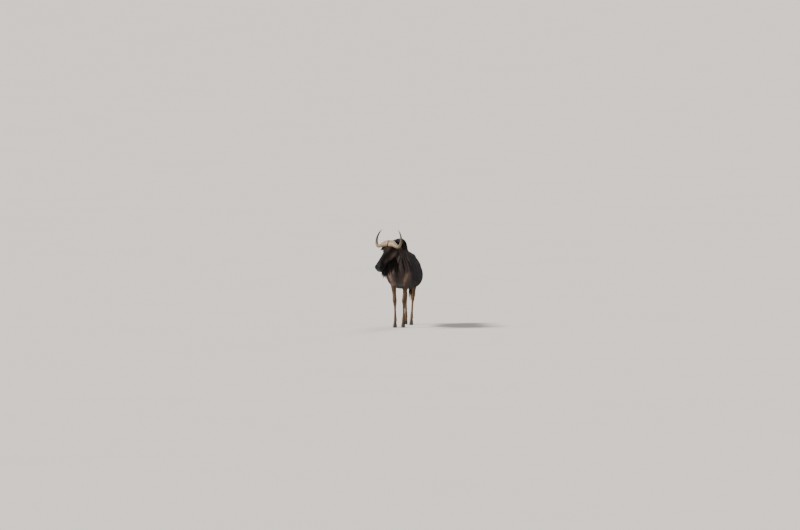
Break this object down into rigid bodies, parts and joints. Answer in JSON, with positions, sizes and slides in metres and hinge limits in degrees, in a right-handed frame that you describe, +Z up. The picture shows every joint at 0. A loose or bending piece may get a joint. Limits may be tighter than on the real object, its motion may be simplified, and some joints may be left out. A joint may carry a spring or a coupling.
{
  "type": "wildebeest",
  "caption": "Life-size blue wildebeest bull standing square with its head turned to its right, with curved horns, mane, beard and tufted tail.",
  "frame": {"origin": "on the floor under the middle of the whole animal's box", "axes": "+Z up, -Y the way the body faces, +X the animal's left; the head is turned to the animal's right"},
  "size_m": [0.6334, 1.9344, 1.581],
  "materials": {
    "coat": "short slate-grey and brown hair with dark upright stripes",
    "face": "short near-black hair",
    "shank": "short tan to reddish-brown hair",
    "long_hair": "long coarse black hair in locks",
    "horn": "horn keratin, rough at the base and smooth to a dark tip",
    "hoof": "satin black-brown hoof keratin",
    "eye": "glossy dark brown"
  },
  "bodies": {
    "root": {"torso": "coat", "neck": "coat", "head": "face", "leg_front_left": "shank", "leg_front_right": "shank", "leg_hind_left": "shank", "leg_hind_right": "shank", "tail": "coat", "tail_tuft": "long_hair", "mane": "long_hair", "beard": "long_hair", "ear_left": "coat", "ear_right": "coat", "eye_left": "eye", "eye_right": "eye", "horn_left": "horn", "horn_right": "horn", "claw_front_left_outer": "hoof", "claw_front_left_inner": "hoof", "claw_front_right_outer": "hoof", "claw_front_right_inner": "hoof", "claw_hind_left_outer": "hoof", "claw_hind_left_inner": "hoof", "claw_hind_right_outer": "hoof", "claw_hind_right_inner": "hoof"}
  },
  "joints": []
}
